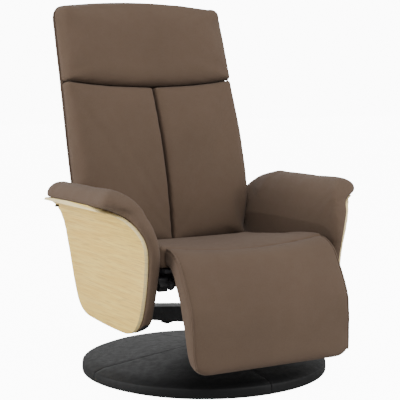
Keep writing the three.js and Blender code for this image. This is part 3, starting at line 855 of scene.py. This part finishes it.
def add_leg_rest(finishes):
    """The pad that bends over the knee and hangs down in front, with a cord along each side."""
    length, thick = 0.42, 0.045
    pad = add_block("leg_rest_cover", (-LEG_HALF, -thick, 0.0), (LEG_HALF, 0.0, length))
    pick(pad, "EDGE", lambda middle, edge: abs(middle.x) > LEG_HALF * 0.9 and middle.z < 0.001)
    bpy.ops.mesh.bevel(offset=0.052, segments=8)
    leave_edit()
    round_edges(pad, 0.005, 2)

    def over_the_knee(p):
        share = 1 - p.z / length
        front, rear = along(LEG_FRONT, share), along(LEG_REAR, share)
        depth = -p.y / thick
        y, z = rear.lerp(front, depth)
        dip = (seam_height(LEG_HALF) - seam_height(p.x)) * smooth(1 - share / 0.25) * depth
        side = p.x * (1 - LEG_TAPER * smooth((share - 0.5) / 0.5))
        return Vector((side, y, z - dip))

    rear_steps = 60
    rear_line = [along(LEG_REAR, i / rear_steps) for i in range(rear_steps + 1)]

    def is_behind(p):
        return min((Vector((p.y, p.z)) - rear).length for rear in rear_line) < 0.016

    def held(p):
        taper = LEG_TAPER * LEG_HALF * smooth((0.24 - p.z) / 0.16)
        edge = smooth((abs(p.x) + taper - LEG_HALF + 0.012) / 0.008)
        seam = smooth((p.y + 0.245) / 0.022)
        behind = 1.0 if is_behind(p) else 0.0
        return max(edge, seam, behind)

    upholster(pad, over_the_knee, held, limit=0.024)
    reshape(pad, lambda p: Vector((p.x, min(p.y, LEG_JOIN - SOFT_GAP / 2), p.z)))
    welts, front_steps = [], 80
    for name, side in (("leg_welt_left", 1), ("leg_welt_right", -1)):
        points = [along(LEG_FRONT, i / front_steps) for i in range(2, 77)]
        line = draw_line(name, [(side * LEG_HALF, p.x, p.y) for p in points])
        fit(line, "SHRINKWRAP", target=pad, wrap_method="NEAREST_SURFACEPOINT", offset=0.0008)
        welts.append(as_welt(line, WELT_RADIUS))
    finish(pad, None, finishes["upholstery"], "upholstery", "leg_pad", "knee_roll")
    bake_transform(pad)
    for welt in welts:
        finish(welt, None, finishes["upholstery"], "upholstery")
        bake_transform(welt)


# ---- arms, drawn on the left and mirrored ---------------------------------------------------
def ease_roll(p):
    """Rounds the roll of an arm: in plan at its front and rear, and in height at its rear."""
    front, rear = max(0.0, -0.175 - p.y), max(0.0, p.y - 0.16)
    front_pull = 0.048 * min(1.2, front / 0.045) ** 1.15
    rear_pull = 0.050 * (rear / 0.11) ** 1.8
    reach = 0.401 - front_pull - rear_pull
    share = max(0.3, (reach - ROLL_INNER) / (ROLL_OUTER - ROLL_INNER))
    above = smooth((p.z - 0.440) / 0.050)
    x = p.x - above * (1 - share) * max(0.0, p.x - ROLL_INNER)
    rearwards = clamped((p.y - 0.15) / 0.12)
    fall = 0.55 * rearwards ** 1.8 * max(0.0, p.z - 0.475)
    return Vector((x, p.y, p.z - fall))


def add_arm_pads(finishes, oak_shell):
    """The upholstery of an arm: thick at the front, rolled outwards over the shell's lip."""
    pad = merged_copy("arm_pad_left", "arm_cover_left")
    inner_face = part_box("arm_pad_left")[0].x - 0.001
    fit(pad, "REMESH", mode="VOXEL", voxel_size=VOXEL)
    fit(pad, "DISPLACE", strength=0.0012, mid_level=0.0)
    reshape(pad, ease_roll)
    shell = BVHTree.FromObject(oak_shell, bpy.context.evaluated_depsgraph_get())

    touching, fade = 0.004, 0.006           # distances from the oak shell

    def held(p):
        return 1 - smooth((shell.find_nearest(p)[3] - touching) / fade)

    stuff(pad, held, limit=0.012)
    reshape(pad, lambda p: Vector((max(p.x, inner_face), p.y, p.z)))
    pad.data.materials.append(finishes["upholstery"])
    pad.data.materials.append(finishes["lining"])
    for face in pad.data.polygons:
        if face.normal.z < -0.6 and face.center.z < 0.24:
            face.material_index = 1         # the lining under the arm
    for piece, node in ((pad, "arm_pad_left"), (mirrored(pad, "arm_cover_right"), "arm_pad_right")):
        finish(piece, "swivel_frame", finishes["upholstery"], "upholstery", node)


def add_arm_shells(finishes):
    """The bent oak shells, with their edges eased and a paler cut edge."""
    shell = merged_copy("arm_shell_left", "oak_shell_left")
    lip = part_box("arm_shell_left")[1].x
    shell.data.materials.append(finishes["oak_shell"])
    shell.data.materials.append(finishes["oak_edge"])
    for face in shell.data.polygons:
        under = face.normal.z < -0.8 and face.center.z < 0.25
        over = face.normal.z > 0.3 and face.center.z > 0.44
        if abs(face.normal.y) > 0.3 or under or over or face.center.x > lip - 0.002:
            face.material_index = 1
    ease_corners(shell, 0.0018)
    for piece, node in ((shell, "arm_shell_left"),
                        (mirrored(shell, "oak_shell_right"), "arm_shell_right")):
        finish(piece, "swivel_frame", finishes["oak_shell"], "oak_shell", node)
    return shell


# ---- base -----------------------------------------------------------------------------------
def add_base_cover(finishes):
    """Four leatherette panels over the round base, sewn together along four spokes."""
    low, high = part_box("base_cover")
    radius, rim, fall = high.x, 0.031, 0.1156
    inner, ease, gap = 0.0455, 0.006, 0.0010
    cone = [(r, high.z - fall * (r - inner)) for r in (inner, 0.10, 0.16, 0.22, 0.28, 0.32)]
    turn = [(radius - ease + ease * math.sin(a), rim - ease + ease * math.cos(a) + 0.001)
            for a in (math.radians(d) for d in (10, 35, 60, 90))]
    skirt = [(radius + 0.0006, 0.014), (radius, low.z + 0.003), (radius - 0.002, low.z + 0.0004)]
    profile = [Vector((r, 0.0, z)) for r, z in cone + turn + skirt]
    panel = draw_line("base_panel_1", profile)
    half_gap = math.asin(gap / radius)
    pick(panel, "VERT", lambda middle, vertex: True)
    bpy.ops.mesh.spin(steps=24, angle=math.pi / 2 - 2 * half_gap, center=(0, 0, 0), axis=(0, 0, 1))
    leave_edit()
    face_outwards(panel)
    panel.rotation_euler.z = half_gap
    settle(panel)
    fit(panel, "SOLIDIFY", thickness=0.0018, offset=-1.0)
    ease_corners(panel, 0.0009)
    panels = [panel]
    for number in (2, 3, 4):
        choose(panel)
        bpy.ops.object.duplicate()
        twin = named(f"base_panel_{number}")
        twin.rotation_euler.z = (number - 1) * math.pi / 2
        panels.append(settle(twin))
    for piece in panels:
        finish(piece, "base", finishes["base_leatherette"], "base_leatherette", "base_cover")


# ---- stage ----------------------------------------------------------------------------------
def add_camera():
    """The camera stands before the chair and to its right, level with the upper back."""
    data = bpy.data.cameras.new("camera")
    data.sensor_width = CAMERA_SENSOR
    data.lens = CAMERA_LENS
    camera = bpy.data.objects.new("camera", data)
    bpy.context.scene.collection.objects.link(camera)
    camera.location = CAMERA_PLACE
    camera.rotation_euler = (math.pi / 2 - CAMERA_DIP, 0.0, CAMERA_TURN)
    bpy.context.scene.camera = camera


def add_floor():
    """A pale floor that the camera sees as white."""
    deselect_all()
    bpy.ops.mesh.primitive_plane_add(size=30, location=(0, 0, 0))
    floor = named("floor")
    material = bpy.data.materials.new("pale_floor")
    material.use_nodes = True
    shader = material.node_tree.nodes["Principled BSDF"]
    shader.inputs["Base Color"].default_value = (0.50, 0.50, 0.50, 1)
    shader.inputs["Roughness"].default_value = 0.9
    shader.inputs["Emission Color"].default_value = (1, 1, 1, 1)
    graph = Graph(material.node_tree)
    seen = graph.node("ShaderNodeLightPath").outputs["Is Camera Ray"]
    graph.feed(shader.inputs["Emission Strength"], graph.math("MULTIPLY", seen, WHITE))
    floor.data.materials.append(material)


def add_light(name, place, size, power):
    """A round area light that is turned to the middle of the chair."""
    data = bpy.data.lights.new(name, "AREA")
    data.shape = "DISK"
    data.size = size
    data.energy = power
    lamp = bpy.data.objects.new(name, data)
    bpy.context.scene.collection.objects.link(lamp)
    lamp.location = place
    aim = LIGHT_AIM - Vector(place)
    lamp.rotation_euler = aim.to_track_quat("-Z", "Y").to_euler()


def add_room_light():
    """A white room: bright where the camera looks, softer where it lights the chair."""
    world = bpy.data.worlds.new("white_room")
    world.use_nodes = True
    graph = Graph(world.node_tree)
    seen = world.node_tree.nodes["Background"]
    seen.inputs["Color"].default_value = (1, 1, 1, 1)
    seen.inputs["Strength"].default_value = WHITE
    lit = graph.node("ShaderNodeBackground", {"Color": (1, 1, 1, 1), "Strength": ROOM_STRENGTH})
    mixed = graph.node("ShaderNodeMixShader")
    graph.feed(mixed.inputs[0], graph.node("ShaderNodeLightPath").outputs["Is Camera Ray"])
    graph.feed(mixed.inputs[1], lit.outputs[0])
    graph.feed(mixed.inputs[2], seen.outputs[0])
    graph.feed(world.node_tree.nodes["World Output"].inputs["Surface"], mixed.outputs[0])
    bpy.context.scene.world = world


def add_stage():
    add_floor()
    add_room_light()
    for name, place, size, power in LIGHTS:
        add_light(name, place, size, power)


add_camera()
add_stage()
finishes = build_finishes()
finish_frame_nodes(finishes)
add_base_cover(finishes)
add_arm_pads(finishes, add_arm_shells(finishes))
add_seat(finishes)
add_leg_rest(finishes)
add_back_panels(finishes)
add_headrest(finishes)
add_rear_cover(finishes)
add_back_welt(finishes)
add_lower_back(finishes)
